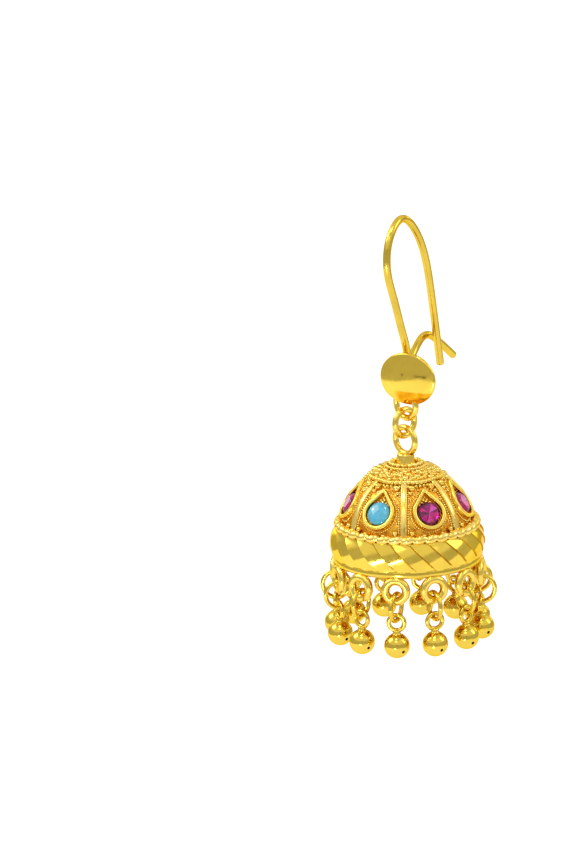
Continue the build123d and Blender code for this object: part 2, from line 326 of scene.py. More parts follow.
def arc_through(a, b, c):
    """Centre and radius of the circle through three points of a profile."""
    (ax, ay), (bx, by), (cx, cy) = a, b, c
    d = 2 * (ax * (by - cy) + bx * (cy - ay) + cx * (ay - by))
    aa, bb, cc = ax**2 + ay**2, bx**2 + by**2, cx**2 + cy**2
    x = (aa * (by - cy) + bb * (cy - ay) + cc * (ay - by)) / d
    y = (aa * (cx - bx) + bb * (ax - cx) + cc * (bx - ax)) / d
    return x, y, sqrt((ax - x) ** 2 + (ay - y) ** 2)


def teardrop(radius, length, sides=18):
    """Outline, round below and pointed above: the arc of the round, a straight side, the arc of the point and
    the other side, counter-clockwise. The sides touch both circles."""
    tip = length - BEZEL_TIP_R
    lean = np.arcsin((radius - BEZEL_TIP_R) / tip)
    big = np.linspace(pi - lean, 2 * pi + lean, 4 * sides)
    small = np.linspace(lean, pi - lean, sides)
    low = radius * np.stack([np.cos(big), np.sin(big)], -1)
    high = BEZEL_TIP_R * np.stack([np.cos(small), np.sin(small)], -1) + [0, tip]
    t = np.linspace(0, 1, sides)[1:-1, None]
    return np.vstack([low, low[-1] * (1 - t) + high[0] * t, high, high[-1] * (1 - t) + low[0] * t])


def teardrop_depth(x, y, radius, length):
    """How far inside a teardrop a point is: the distance to a cone that touches both of its circles."""
    tip = length - BEZEL_TIP_R
    b = (radius - BEZEL_TIP_R) / tip
    a = sqrt(1 - b * b)
    x = np.abs(x)
    across = a * y - b * x
    low = np.hypot(x, y) - radius
    high = np.hypot(x, y - tip) - BEZEL_TIP_R
    middle = a * x + b * y - radius
    return -np.where(across < 0, low, np.where(across > a * tip, high, middle))


# ---- Materials ----
def linear(colour):
    """Three sRGB values from 0 to 1 as the linear ones that shaders take."""
    return tuple(c / 12.92 if c <= 0.04045 else ((c + 0.055) / 1.055) ** 2.4 for c in colour[:3]) + (1.0,)


def srgb(code):
    """Hex colour code as three sRGB values from 0 to 1."""
    return tuple(int(code[k:k + 2], 16) / 255 for k in (1, 3, 5))


def dimmed(colour, share):
    """A colour with each of its values at that share."""
    return [c * share for c in colour]


def add_node(tree, kind, inputs=None, stops=None, **settings):
    """Adds a node with its settings. Each input gets a value, or a link where it is given another node, for
    its first output, or one of its outputs. stops are the places and colours of a colour ramp."""
    node = tree.nodes.new(kind)
    for name, value in settings.items():
        setattr(node, name, value)
    for place, colour in stops or []:
        element = node.color_ramp.elements.new(place)
        element.color = colour
    if stops:
        node.color_ramp.elements.remove(node.color_ramp.elements[-1])
        node.color_ramp.elements.remove(node.color_ramp.elements[0])
    for name, value in (inputs or {}).items():
        if isinstance(value, bpy.types.Node):
            value = value.outputs[0]
        if isinstance(value, bpy.types.NodeSocket):
            tree.links.new(value, node.inputs[name])
        else:
            node.inputs[name].default_value = value
    return node


def new_material(name):
    """Empty node material, its tree and the piece's own coordinates."""
    material = bpy.data.materials.new(name)
    material.use_nodes = True
    tree = material.node_tree
    tree.nodes.clear()
    return material, tree, add_node(tree, "ShaderNodeTexCoord").outputs["Object"]


def shader_of(material):
    """The shader of a finished material."""
    return next(node for node in material.node_tree.nodes if node.type == "BSDF_PRINCIPLED")


def per_metre(size_mm):
    """Texture scale at which one cell or wave is that many millimetres."""
    return 1 / (size_mm * MM)


def gold_metal(name, colour, deep, rough, grain_mm, grain_height_mm, patch_mm=2.5):
    """Gold plate: its colour wanders a little between two tones over patch_mm and its roughness between two
    values over a quarter of that, and a fine relief of grain_mm stands grain_height_mm high."""
    material, tree, place = new_material(name)
    patch = add_node(tree, "ShaderNodeTexNoise",
                     {"Vector": place, "Scale": per_metre(patch_mm), "Detail": 3.0, "Roughness": 0.6})
    tone = add_node(tree, "ShaderNodeValToRGB", {"Fac": patch}, [(0.3, linear(deep)), (0.62, linear(colour))])
    worn = add_node(tree, "ShaderNodeTexNoise",
                    {"Vector": place, "Scale": per_metre(patch_mm / 4), "Detail": 4.0})
    roughness = add_node(tree, "ShaderNodeMapRange",
                         {"Value": worn, "From Min": 0.35, "From Max": 0.65,
                          "To Min": rough[0], "To Max": rough[1]})
    grain = add_node(tree, "ShaderNodeTexNoise",
                     {"Vector": place, "Scale": per_metre(grain_mm), "Detail": 2.0})
    bump = add_node(tree, "ShaderNodeBump",
                    {"Height": grain, "Distance": grain_height_mm * MM, "Strength": 1.0})
    shader = add_node(tree, "ShaderNodeBsdfPrincipled",
                      {"Base Color": tone, "Metallic": 1.0, "Roughness": roughness,
                       "Specular Tint": linear(finish().edge_gold), "Normal": bump})
    add_node(tree, "ShaderNodeOutputMaterial", {"Surface": shader})
    return material


def clouded(name, cloud_mm, detail, dark, pale, shader_values, dark_end=0.3):
    """Material whose colour wanders between a dark and a pale tone, in clouds of cloud_mm, with the values
    that its shader is given."""
    material, tree, place = new_material(name)
    clouds = add_node(tree, "ShaderNodeTexNoise",
                      {"Vector": place, "Scale": per_metre(cloud_mm), "Detail": detail})
    tone = add_node(tree, "ShaderNodeValToRGB", {"Fac": clouds},
                    [(dark_end, linear(dark)), (0.7, linear(pale))])
    shader = add_node(tree, "ShaderNodeBsdfPrincipled", {"Base Color": tone, **shader_values})
    add_node(tree, "ShaderNodeOutputMaterial", {"Surface": shader})
    return material


def polished_gold():
    """High-carat gold plate over brass, tumble polished: a clear yellow mirror with soft, slightly wavy
    reflections."""
    tint = finish().gold
    return gold_metal("polished_gold_plate", dimmed(tint, 0.97), dimmed(tint, 0.92), (0.07, 0.15), 1.1, 0.006)


def flushed_disc_gold():
    """Polished gold plate with a painted orange reflection along the lower right edge, over the loop's solder
    joint."""
    tint = finish().gold
    material = gold_metal("flushed_disc_gold", tint, dimmed(tint, 0.96), (0.07, 0.15), 1.1, 0.006)
    tree, shader = material.node_tree, shader_of(material)
    plain = shader.inputs["Base Color"].links[0].from_socket
    place = add_node(tree, "ShaderNodeTexCoord").outputs["Object"]
    parts = add_node(tree, "ShaderNodeSeparateXYZ", {"Vector": place})
    # The painted reflection lies below one height and past one place across, with a soft edge on both sides
    low = add_node(tree, "ShaderNodeMapRange",
                   {"Value": parts.outputs["Z"], "From Min": (FLUSH_TOP_Z - 0.06) * MM,
                    "From Max": (FLUSH_TOP_Z + 0.06) * MM, "To Min": 1.0, "To Max": 0.0})
    aside = add_node(tree, "ShaderNodeMapRange",
                     {"Value": parts.outputs["X"], "From Min": (FLUSH_START_X - 0.3) * MM,
                      "From Max": (FLUSH_START_X + 0.3) * MM})
    share = add_node(tree, "ShaderNodeMath", {0: low, 1: aside}, operation="MULTIPLY")
    cloud = add_node(tree, "ShaderNodeTexNoise", {"Vector": place, "Scale": per_metre(0.7), "Detail": 3.0})
    flush = add_node(tree, "ShaderNodeValToRGB", {"Fac": cloud},
                     [(0.35, linear(srgb("#DC9414"))), (0.65, linear(srgb("#F4B020")))])
    # A mix of colours takes them at its inputs 6 and 7 and gives the mixed one at its output 2
    mixed = add_node(tree, "ShaderNodeMix", {0: share, 6: plain, 7: flush}, data_type="RGBA")
    tree.links.new(mixed.outputs[2], shader.inputs["Base Color"])
    return material


def drawn_gold_wire():
    """Gold plate on drawn wire: a little deeper and softer than the polished sheet, from the die's fine
    scratches."""
    tint = finish().gold
    return gold_metal("drawn_gold_wire", dimmed(tint, 0.95), dimmed(tint, 0.88), (0.12, 0.22), 0.4, 0.01)


def burnished_gold():
    """Solder, rings, stem and bezel walls, rubbed with a burnisher: smoother than the granules, softer than
    a mirror."""
    tint = [(2 * a + b) / 3 for a, b in zip(finish().gold, finish().pale_gold)]
    return gold_metal("burnished_gold", tint, dimmed(tint, 0.96), (0.16, 0.26), 0.5, 0.008)


def diamond_cut_gold():
    """Gold plate cut with a diamond tool: a bright, sharp mirror with faint tool marks."""
    tint = finish().gold
    return gold_metal("diamond_cut_gold", tint, dimmed(tint, 0.95), (0.08, 0.18), 0.6, 0.006)


def granulation_gold():
    """Gold granules and twisted wire, fired on and pickled: satin, a little warmer in random patches."""
    return gold_metal("granulated_gold", finish().pale_gold, finish().warm_gold, (0.16, 0.28), 0.22, 0.01,
                      patch_mm=1.2)


def matte_ground_gold():
    """Ground between the ornaments, pickled and never polished: matte, orange gold with a fine sandy grain;
    its darker orange patches, placed at random, are painted shade of the recesses between the ornaments."""
    return gold_metal("matte_gold_ground", finish().ground_gold, finish().ground_shade, (0.3, 0.46), 0.2,
                      0.04, patch_mm=0.8)


def gold_in_corners():
    """Painted shade in the corners between the cuts: brownish and dull gold."""
    return gold_metal("gold_in_corners", srgb("#C8981C"), srgb("#A87A14"), (0.3, 0.42), 0.3, 0.01)


def oxidised_hollow():
    """Painted shade for deep holes and narrow seams: dark brown and dull."""
    return clouded("oxidised_hollow", 0.15, 3.0, srgb("#1A1206"), srgb("#3A2A0C"), {"Roughness": 0.8},
                   dark_end=0.35)


def turquoise_resin():
    """Moulded turquoise resin, glossy: an even milky sky blue with faint paler clouds."""
    tint = finish().turquoise
    return clouded("turquoise_resin", 1.0, 3.0, dimmed(tint, 0.9), tint,
                   {"Roughness": 0.1, "IOR": 1.5, "Coat Weight": 0.6, "Coat Roughness": 0.04})


def cut_glass():
    """Cut crystal glass, dyed magenta and polished: clear, with sharp white glints on its facets."""
    tint = finish().pink_glass
    return clouded("magenta_cut_glass", 0.8, 2.0, dimmed(tint, 0.88), tint,
                   {"Roughness": 0.02, "IOR": 1.5, "Transmission Weight": 0.94, "Specular IOR Level": 0.25})


def mirror_foil():
    """Silver foil behind the glass, lacquered pink. Each facet's colour is painted light: bright facets, the
    palest near white, are painted glints, and dark ones painted shade.
    """
    material, tree, place = new_material("pink_mirror_foil")
    facet = add_node(tree, "ShaderNodeAttribute", attribute_name="facet_tone").outputs["Fac"]
    tone = add_node(tree, "ShaderNodeValToRGB", {"Fac": facet},
                    [(0.0, linear(srgb("#4A0630"))), (0.4, linear(srgb("#A81C78"))),
                     (0.8, linear(srgb("#FF50B0"))), (1.0, linear(srgb("#FFD8F0")))])
    cloud = add_node(tree, "ShaderNodeTexNoise", {"Vector": place, "Scale": per_metre(0.5), "Detail": 2.0})
    roughness = add_node(tree, "ShaderNodeMapRange", {"Value": cloud, "To Min": 0.1, "To Max": 0.22})
    shader = add_node(tree, "ShaderNodeBsdfPrincipled",
                      {"Base Color": tone, "Metallic": 1.0, "Roughness": roughness})
    add_node(tree, "ShaderNodeOutputMaterial", {"Surface": shader})
    return material


def light_table():
    """Opal acrylic of a light table: white, matte and lit from below, so nothing on it casts a shadow."""
    material = clouded("opal_acrylic", 400, 2.0, srgb("#EEEEEE"), srgb("#F2F2F2"),
                       {"Roughness": 0.7, "Specular IOR Level": 0.2, "Emission Color": (1, 1, 1, 1)})
    tree, shader = material.node_tree, shader_of(material)
    # The lamps light the middle of the table from above, so it glows less there than at its far end
    glow = stage_settings().table_glow
    place = add_node(tree, "ShaderNodeTexCoord").outputs["Object"]
    off_middle = add_node(tree, "ShaderNodeVectorMath", {"Vector": place}, operation="LENGTH")
    strength = add_node(tree, "ShaderNodeMapRange",
                        {"Value": off_middle.outputs["Value"], "From Min": 0.2, "From Max": 0.7,
                         "To Min": 0.4 * glow, "To Max": glow})
    tree.links.new(strength.outputs[0], shader.inputs["Emission Strength"])
    return material


def black_card():
    """Matte black card, hung beside bright metal for crisp dark edges in its reflections."""
    return clouded("black_card", 2, 2.0, srgb("#1C1C1A"), srgb("#242422"), {"Roughness": 0.9})


@cache
def finished(make):
    """The material that a function makes, made once."""
    return make()


def add_piece(name, shape, finish_of, body="bell_body", node="bell", crease=None, flat=False,
              hollow=None, hollow_finish=oxidised_hollow):
    """Puts a shape into a mesh that rides on a body, stands for a CAD node and takes one finish. hollow picks
    the faces, by their middles, that take a second finish, the painted shade of a deep hole if none is named."""
    points, quads, fans = shape
    mesh = bpy.data.meshes.new(name)
    mesh.from_pydata(points * MM, [], quads.tolist() + fans.tolist())
    mesh.materials.append(finished(finish_of))
    if flat:
        mesh.shade_flat()
    else:
        mesh.shade_smooth()
        if crease:
            mesh.set_sharp_from_angle(angle=radians(crease))
    if hollow is not None:
        mesh.materials.append(finished(hollow_finish))
        middles = np.vstack([points[quads].mean(1), points[fans].mean(1)])
        mesh.polygons.foreach_set("material_index", hollow(middles).astype(np.int32))
    piece = bpy.data.objects.new(name, mesh)
    bpy.context.scene.collection.objects.link(piece)
    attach(piece, body)
    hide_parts(node)
    return piece


# ---- Sizes and colours that a user may change ----
def size(name, description, mm):
    """Property for a length, given in millimetres."""
    return FloatProperty(name=name, description=description, default=mm * MM, unit="LENGTH", precision=5)


def shade(name, description, code):
    """Property for a colour, given as a hex code."""
    return FloatVectorProperty(name=name, description=description, default=srgb(code),
                               subtype="COLOR_GAMMA", min=0, max=1)


class JhumkaHook(bpy.types.PropertyGroup):
    """Ear wire, disc and chain."""
    wire_thickness: size("Wire thickness", "Diameter of the ear wire and the catch", 0.9)
    disc_width: size("Disc width", "Width of the polished disc", 7.15)
    disc_height: size("Disc height", "Height of the polished disc", 6.1)
    disc_bulge: size("Disc bulge", "Radius of the ball that the disc's front is part of", 11)
    link_radius: size("Link radius", "Mean radius of the chain's links", 1.53)
    link_wire: size("Link wire", "Thickness of the chain's wire", 0.74)


class JhumkaBell(bpy.types.PropertyGroup):
    """Bell, ornaments and settings."""
    dome_radius: size("Dome radius", "Outer radius of the dome", 7.45)
    rope_thickness: size("Rope thickness", "Thickness of the twisted ring", 1.14)
    rope_lobes: IntProperty(name="Rope lobes", description="Lobes of the twisted ring", default=36, min=8)
    cut_count: IntProperty(name="Cuts", description="Diamond cuts round the band", default=24, min=4)
    cut_depth: size("Cut depth", "Depth of the diamond cuts", 0.2)
    granule: size("Granule", "Radius of the cap's granules", 0.25)
    rib_width: size("Rib width", "Width of the straps between the settings", 0.8)
    bezel_outer: size("Bezel", "Outer radius of the bezels' round part", 1.98)
    bezel_inner: size("Bezel opening", "Inner radius of the bezels' round part", 1.52)
    bezel_length: size("Bezel length", "From the stone's middle to the bezel's point", 2.95)
    bezel_rise: size("Bezel rise", "Height of the bezels over the dome", 0.34)
    stone_radius: size("Stone radius", "Radius of the stones", 1.38)


class JhumkaTassels(bpy.types.PropertyGroup):
    """Rings and ball drops under the lip."""
    rim_ring_radius: size("Rim ring", "Mean radius of the rings under the lip", 1.2)
    rim_ring_wire: size("Rim ring wire", "Thickness of the rings under the lip", 0.98)
    jump_ring_radius: size("Jump ring", "Mean radius of the jump rings", 1.57)
    jump_ring_wire: size("Jump ring wire", "Thickness of the jump rings", 0.54)
    eye_radius: size("Eye", "Mean radius of the balls' eyes", 0.9)
    eye_wire: size("Eye wire", "Thickness of the balls' eyes", 0.54)
    ball_radius: size("Ball", "Radius of the balls", 1.47)


class JhumkaFinish(bpy.types.PropertyGroup):
    """Colours of the metal and the stones."""
    gold: shade("Gold", "Polished gold", "#F1CE50")
    pale_gold: shade("Pale gold", "Granules and twisted wire", "#FADF80")
    warm_gold: shade("Warm gold", "Gold in hollows", "#F0C648")
    ground_gold: shade("Ground", "Matte gold between the ornaments", "#F6BC40")
    ground_shade: shade("Ground shade", "Darker patches of the matte gold", "#C87818")
    edge_gold: shade("Edge gold", "Tint of gold seen along its surface", "#FFE2A0")
    turquoise: shade("Turquoise", "Smooth stones", "#50B2D0")
    pink_glass: shade("Pink glass", "Cut stones", "#E860C8")


class JhumkaStage(bpy.types.PropertyGroup):
    """Camera and light."""
    camera_turn: FloatProperty(name="Turn", description="Camera's turn round the earring",
                               default=radians(30), subtype="ANGLE")
    camera_rise: FloatProperty(name="Rise", description="Camera's height angle",
                               default=radians(15), subtype="ANGLE")
    camera_distance: FloatProperty(name="Distance", description="From the camera to the earring's middle",
                                   default=0.603, unit="LENGTH")
    camera_roll: FloatProperty(name="Roll", description="Camera's tilt round its own line of sight",
                               default=radians(1.3), subtype="ANGLE")
    camera_aside: FloatProperty(name="Aside",
                                description="How far the camera looks past the earring, to the left",
                                default=radians(1.27), subtype="ANGLE")
    lens: FloatProperty(name="Lens", description="Focal length in millimetres", default=220, min=1)
    table_glow: FloatProperty(name="Table glow", description="Light from under the table",
                              default=0.32, min=0)


def hook():
    """Sizes of the ear wire, the disc and the chain, in metres."""
    return bpy.context.scene.jhumka_hook


def bell():
    """Sizes of the bell, its ornaments and its settings, in metres."""
    return bpy.context.scene.jhumka_bell


def tassels():
    """Sizes of the rings and ball drops, in metres."""
    return bpy.context.scene.jhumka_tassels


def finish():
    """Colours of the metal and the stones."""
    return bpy.context.scene.jhumka_finish


def stage_settings():
    """Place of the camera and glow of the table."""
    return bpy.context.scene.jhumka_stage


class MakeEarWire(bpy.types.Operator):
    """Ear wire and catch"""
    bl_idname = "jhumka.ear_wire"
    bl_label = "Ear wire and catch"

    def execute(self, context):
        radius = hook().wire_thickness / MM / 2
        add_piece("ear_wire", wire(WIRE_CENTRES, radius), drawn_gold_wire, "hook", "ear_hook")
        add_piece("catch_wire", wire(CATCH_CENTRES, radius), drawn_gold_wire, "hook", "ear_hook")
        return {"FINISHED"}


class MakeDisc(bpy.types.Operator):
    """Polished disc with its loop"""
    bl_idname = "jhumka.disc"
    bl_label = "Polished disc"

    def execute(self, context):
        # Ellipse of rows from the middle of the front to the middle of the back. The front is part of a ball,
        # with a flat bevel along its lower edge
        front_rows = [(share, 0) for share in np.linspace(0.02, 0.95, 40)]
        across, back = np.array(front_rows + DISC_EDGE).T
        a = np.arange(160) * 2 * pi / 160
        bulge = hook().disc_bulge / MM
        x = across[:, None] * np.cos(a) * hook().disc_width / MM / 2
        z = across[:, None] * np.sin(a) * hook().disc_height / MM / 2
        front = DISC_FRONT_Y + bulge - np.sqrt(bulge**2 - x**2 - z**2)
        front = front + DISC_BEVEL_SLOPE * np.maximum(DISC_BEVEL_Z - z, 0)
        y = front + (DISC_BACK_Y - front) * back[:, None]
        disc = skin(np.stack([x + DISC_X, y, z + DISC_Z], -1))
        add_piece("polished_disc", disc, flushed_disc_gold, "hook", "ear_hook")
        # Lump of solder behind the disc, round the ends of both wires: ellipses of the lug's rows
        width, reach = (np.array(LUG_ROWS)[:, k, None] for k in range(2))
        lug = np.stack([LUG_X - LUG_R * width * np.cos(a),
                        DISC_BACK_Y + (LUG_END_Y - DISC_BACK_Y) * reach + 0 * a,
                        LUG_Z + LUG_R * width * np.sin(a)], -1)
        add_piece("solder_lug", skin(lug), burnished_gold, "hook", "ear_hook")
        add_piece("disc_loop", chain_ring(LOOP_Z, CHAIN_TURN, LOOP_X), burnished_gold, "hook", "ear_hook")
        return {"FINISHED"}


def chain_ring(z, turn, x=0):
    """One ring of the chain, at a height and facing a turn."""
    return ring(np.array([x, 0, z]), turn, hook().link_radius / MM, hook().link_wire / MM / 2)


def link_pitch():
    """From the middle of one link of the chain to the next: they hang in each other with a little room."""
    return (2 * hook().link_radius - hook().link_wire) / MM - LINK_ROOM


class MakeChain(bpy.types.Operator):
    """Free link of the chain"""
    bl_idname = "jhumka.chain"
    bl_label = "Chain link"

    def execute(self, context):
        link = chain_ring(LOOP_Z - link_pitch(), CHAIN_TURN + 90)
        add_piece("chain_link", link, burnished_gold, "link", "top_link")
        return {"FINISHED"}


def from_setting(apart, rise):
    """Direction at so many degrees round the bell from a setting and at a rise, by the setting's own axes:
    round the bell, up the dome and out of it."""
    across, e, tilt = np.radians(apart), np.radians(rise), radians(BEZEL_TILT)
    level = np.cos(e) * np.cos(across)
    return (np.cos(e) * np.sin(across), np.sin(e) * cos(tilt) - level * sin(tilt),
            level * cos(tilt) + np.sin(e) * sin(tilt))


def dome_face(turn, rise):
    """How far from its centre the dome's face lies at a turn and a rise: level floors inside the bezels,
    deeper under the stones, with a step that the bezel's wall covers."""
    radius, pitch = bell().dome_radius / MM, 360 / STONES
    nearest = FIRST_STONE_TURN + np.round((turn - FIRST_STONE_TURN) / pitch) * pitch
    across, upward, facing = from_setting(turn - nearest, rise)
    x, y = across * radius, upward * radius + STONE_DROP
    wall_r = (bell().bezel_outer + bell().bezel_inner) / 2 / MM
    inside = teardrop_depth(x, y, wall_r, bell().bezel_length / MM - BEZEL_POINT_WALL / 2)
    under_stone = np.hypot(x, y) < bell().stone_radius / MM
    floor = (radius - np.where(under_stone, WELL_DEPTH, SEAT_DEPTH)) / np.maximum(facing, 0.5)
    return np.where(inside > 0, np.minimum(floor, radius), radius)


class MakeDome(bpy.types.Operator):
    """Dome with its inside, and the cap's plate"""
    bl_idname = "jhumka.dome"
    bl_label = "Dome and cap"

    def execute(self, context):
        # Down the outside and up the inside, by the same number of columns for each stone
        columns = 72 * STONES
        turns = np.arange(columns) * 360 / columns
        turn, rise = np.meshgrid(turns, np.linspace(88, 5, 170))
        outside = on_dome(turn, rise, dome_face(turn, rise))
        turn, rise = np.meshgrid(turns, np.linspace(2, 88, 40))
        inside = on_dome(turn, rise, DOME_INNER_R)
        add_piece("dome", skin(np.vstack([outside, inside])), matte_ground_gold)
        lean = np.radians(np.linspace(1, CAP_LEAN, 24))
        plate = [np.stack([r * np.sin(a), DOME_CENTRE[2] + r * np.cos(a)], -1)
                 for r, a in ((CAP_R, lean), (CAP_UNDER_R, lean[::-1]))]
        add_piece("cap_plate", turned(np.vstack(plate), 96), granulation_gold, crease=40)
        return {"FINISHED"}


class MakeBand(bpy.types.Operator):
    """Diamond-cut band, lip and twisted ring"""
    bl_idname = "jhumka.band"
    bl_label = "Cut band and rope ring"

    def execute(self, context):
        # Band: the radius of the profile's arc less the depth of a cut, which is (depth at this height) -
        # offset^2 / (2 x the tool's radius) + tilt x offset. The depth fades to nothing at the top and foot
        # of a cut, each cut tilts its own way, and the columns of points slant with the cuts, so ridges run
        # along them
        count, per_cut = bell().cut_count, 20
        columns = count * per_cut
        top, foot = BAND_TOP[1], CUFF_TOP[1]
        x, y, r = arc_through(BAND_TOP, BELLY, CUFF_TOP)
        heights = np.linspace(top - 0.06, foot, 72)[:, None]
        start = np.arange(columns) * 360 / columns
        turns = start - np.degrees((heights - BELLY[1]) / BELLY[0])
        number = np.arange(columns) // per_cut
        offset = (start - (number + 0.5) * 360 / count) * pi / 180 * BELLY[0] / sqrt(2)
        random = np.random.default_rng(3)
        tilt = random.normal(CUT_TILT, CUT_TILT_SPREAD, count)[number]
        middle, half = (top + foot) / 2, (top - foot) / 2
        fade = np.clip(1 - np.abs((heights - middle) / half) ** 7, 0, 1)
        depth = bell().cut_depth / MM * fade - offset**2 / (2 * CUT_RADIUS) + tilt * offset * fade
        radius = x + np.sqrt(r**2 - (heights - y) ** 2) - np.maximum(depth, 0)
        wall = radius[..., None] * outward(turns) + (LIP_Z + heights)[..., None] * UP

        def rounds(profile, height):
            """Rounds of points at the places of a profile, in line with the wall's columns at a height."""
            at = start - degrees((height - BELLY[1]) / BELLY[0])
            return [(out * outward(at) + (LIP_Z + up) * UP)[None] for out, up in profile]

        section = np.vstack(rounds(BAND_LEDGE, top) + [wall] + rounds(BAND_INSIDE, foot))
        # Painted shade in the corner between one cut and the next: dull, brownish gold on the last columns of
        # each cut's faces, except near its ends
        row, column = np.divmod(np.arange(len(section) * columns), columns)
        corner = (column % per_cut >= per_cut - 2) & (row > 4) & (row < 64)
        band = add_piece("cut_band", skin(section, loop=True), diamond_cut_gold, crease=22,
                         hollow=lambda middles: corner, hollow_finish=gold_in_corners)
        bpy.data.collections[BAND_GLINT].objects.link(band)
        # Lip: half an ellipse from the outside to the inside of the wall
        outer, inner = CUFF_TOP[0], LIP_INNER_R
        around = np.radians(np.linspace(0, 180, 14))
        lip = np.stack([(outer + inner) / 2 + (outer - inner) / 2 * np.cos(around),
                        LIP_ROUND - LIP_ROUND * np.sin(around)], -1)
        cuff = np.vstack([CUFF_SHOULDER, lip]) + [0, LIP_Z]
        add_piece("lip_cuff", turned(cuff, 240, loop=True), polished_gold, crease=50)
        rope = lobed_ring(ROPE_MEAN_R, LIP_Z + ROPE_HEIGHT, bell().rope_thickness / MM, bell().rope_lobes,
                          slant=-1, depth=0.46)
        add_piece("rope_ring", rope, granulation_gold)
        # Seam: a thin broken line of painted shade where the rope sits on the band
        seam = lobed_ring(SEAM_MEAN_R, LIP_Z + top + 0.01, SEAM_THICKNESS, bell().rope_lobes * 3, slant=0,
                          depth=0.7)
        add_piece("rope_seam", seam, oxidised_hollow)
        return {"FINISHED"}


class MakeCapOrnament(bpy.types.Operator):
    """Granulation on the cap, its border, the collar and the stem with its loop"""
    bl_idname = "jhumka.cap_ornament"
    bl_label = "Cap granulation and stem"

    def execute(self, context):
        grain = bell().granule / MM
        random = np.random.default_rng(7)
        # Granules stand along a spiral that turns by the golden angle from one to the next, so they fill the
        # cap evenly without rows; each is a little off its place, its height and its size
        number = np.arange(CAP_GRANULES)
        inner, outer = (cos(radians(lean)) for lean in GRANULE_LEANS)
        lean = np.degrees(np.arccos(inner + (outer - inner) * (number + 0.5) / CAP_GRANULES))
        turn = number * 180 * (3 - sqrt(5)) + random.normal(0, 3.0, CAP_GRANULES)
        lean = lean + random.normal(0, 0.7, CAP_GRANULES)
        radii = grain * random.uniform(0.7, 1.3, CAP_GRANULES)
        radii = np.where(random.random(CAP_GRANULES) < 0.1, 1.55 * grain, radii)
        scattered = granules(on_dome(turn, 90 - lean, CAP_R + 0.2 * radii), radii)
        add_piece("cap_granules", scattered, granulation_gold)
        # Border: twisted wire along the cap's edge
        edge = radians(CAP_LEAN)
        border = lobed_ring(CAP_R * sin(edge), DOME_CENTRE[2] + CAP_R * cos(edge), thickness=0.56, lobes=52,
                            slant=-1, depth=0.4, ripple=0.1)
        add_piece("cap_border", border, granulation_gold)
        # Scallops: a row of granules on the dome close under the border
        scallops = on_dome(np.arange(SCALLOPS) * 360 / SCALLOPS, 90 - CAP_LEAN - SCALLOP_LEAN,
                           bell().dome_radius / MM + SCALLOP_HEIGHT)
        add_piece("cap_scallops", granules(scallops, SCALLOP_R), granulation_gold)
        # Collar: balls round the stem's foot, inside a ring of twisted wire
        collar_turns = np.arange(COLLAR_BALLS) * 360 / COLLAR_BALLS
        collar = copies(ball(12, 6), COLLAR_R * outward(collar_turns) + COLLAR_Z * UP, COLLAR_BALL_R)
        collar_wire = lobed_ring(COLLAR_WIRE_R, COLLAR_WIRE_Z, thickness=0.34, lobes=44, slant=1, depth=0.3)
        add_piece("stem_collar", joined([collar, collar_wire]), granulation_gold)
        add_piece("stem", turned(STEM_PROFILE, 64), burnished_gold)
        add_piece("stem_loop", chain_ring(LOOP_Z - 2 * link_pitch(), CHAIN_TURN), burnished_gold)
        return {"FINISHED"}


class MakeRibs(bpy.types.Operator):
    """Straps between the settings, with beads beside them"""
    bl_idname = "jhumka.ribs"
    bl_label = "Ribs and beading"

    def execute(self, context):
        dome_r, half_width = bell().dome_radius / MM, bell().rib_width / MM / 2
        # Strap: a rounded oblong carried up the dome, a little narrower towards the top. Its section is a
        # circle drawn out square: by the cosine across and by the sine outwards
        rises = np.linspace(RIB_FOOT_RISE, RIB_TOP_RISE, 48)[:, None]
        a = np.arange(24) * 2 * pi / 24
        taper = RIB_TAPER * (rises - RIB_FOOT_RISE) / (RIB_TOP_RISE - RIB_FOOT_RISE)
        across = half_width * (1 - taper) * squared_off(np.cos(a), 0.45)
        out = dome_r + RIB_OVER_DOME + RIB_HALF_THICKNESS * squared_off(np.sin(a), 0.6)
        straps = []
        for turn in RIB_TURNS:
            direction = on_dome(turn, rises, 1) - DOME_CENTRE
            straps.append(skin(DOME_CENTRE + out[:, None] * direction + across[..., None] * along(turn)))
        add_piece("ribs", joined(straps), granulation_gold)
        # Beads: a row each side of a strap, then big granules under the cap's border and at the strap's foot
        beads, radii = [], []
        row = np.linspace(*RIB_BEAD_RISES, RIB_BEADS)
        gap = (half_width + 0.13) * (1 + 0.1 * (30 - row) / 30)
        rise, aside, radius = RIB_GRANULES.T
        for turn in RIB_TURNS:
            for side in (-along(turn), along(turn)):
                beads.append(on_dome(turn, row, dome_r + 0.05) + gap[:, None] * side)
                beads.append(on_dome(turn, rise, dome_r + 0.5 * radius) + aside[:, None] * side)
                radii += [np.full(RIB_BEADS, RIB_BEAD_R), radius]
        # Fine granules scattered between the bezels and the straps, more of them higher up
        random = np.random.default_rng(9)
        turn, rise = random.uniform(0, 360, FINE_GRANULES), random.uniform(10, 55, FINE_GRANULES)
        half_pitch, level = 180 / STONES, np.cos(np.radians(rise))
        apart = (turn - FIRST_STONE_TURN + half_pitch) % (2 * half_pitch) - half_pitch
        from_strap = np.radians(half_pitch - np.abs(apart)) * level * dome_r
        x, y, _ = from_setting(apart, rise)
        inside = teardrop_depth(dome_r * x, dome_r * y + STONE_DROP, bell().bezel_outer / MM,
                                bell().bezel_length / MM)
        kept = (inside < -FINE_GRANULE_ROOM) & (from_strap > half_width + FINE_GRANULE_ROOM)
        kept &= random.random(FINE_GRANULES) < level * np.clip((rise - 14) / 40, 0.08, 0.7)
        fine = random.uniform(0.09, 0.17, kept.sum())
        beads.append(on_dome(turn[kept], rise[kept], dome_r + 0.4 * fine))
        radii.append(fine)
        add_piece("rib_beads", granules(np.vstack(beads), np.concatenate(radii)), granulation_gold)
        return {"FINISHED"}


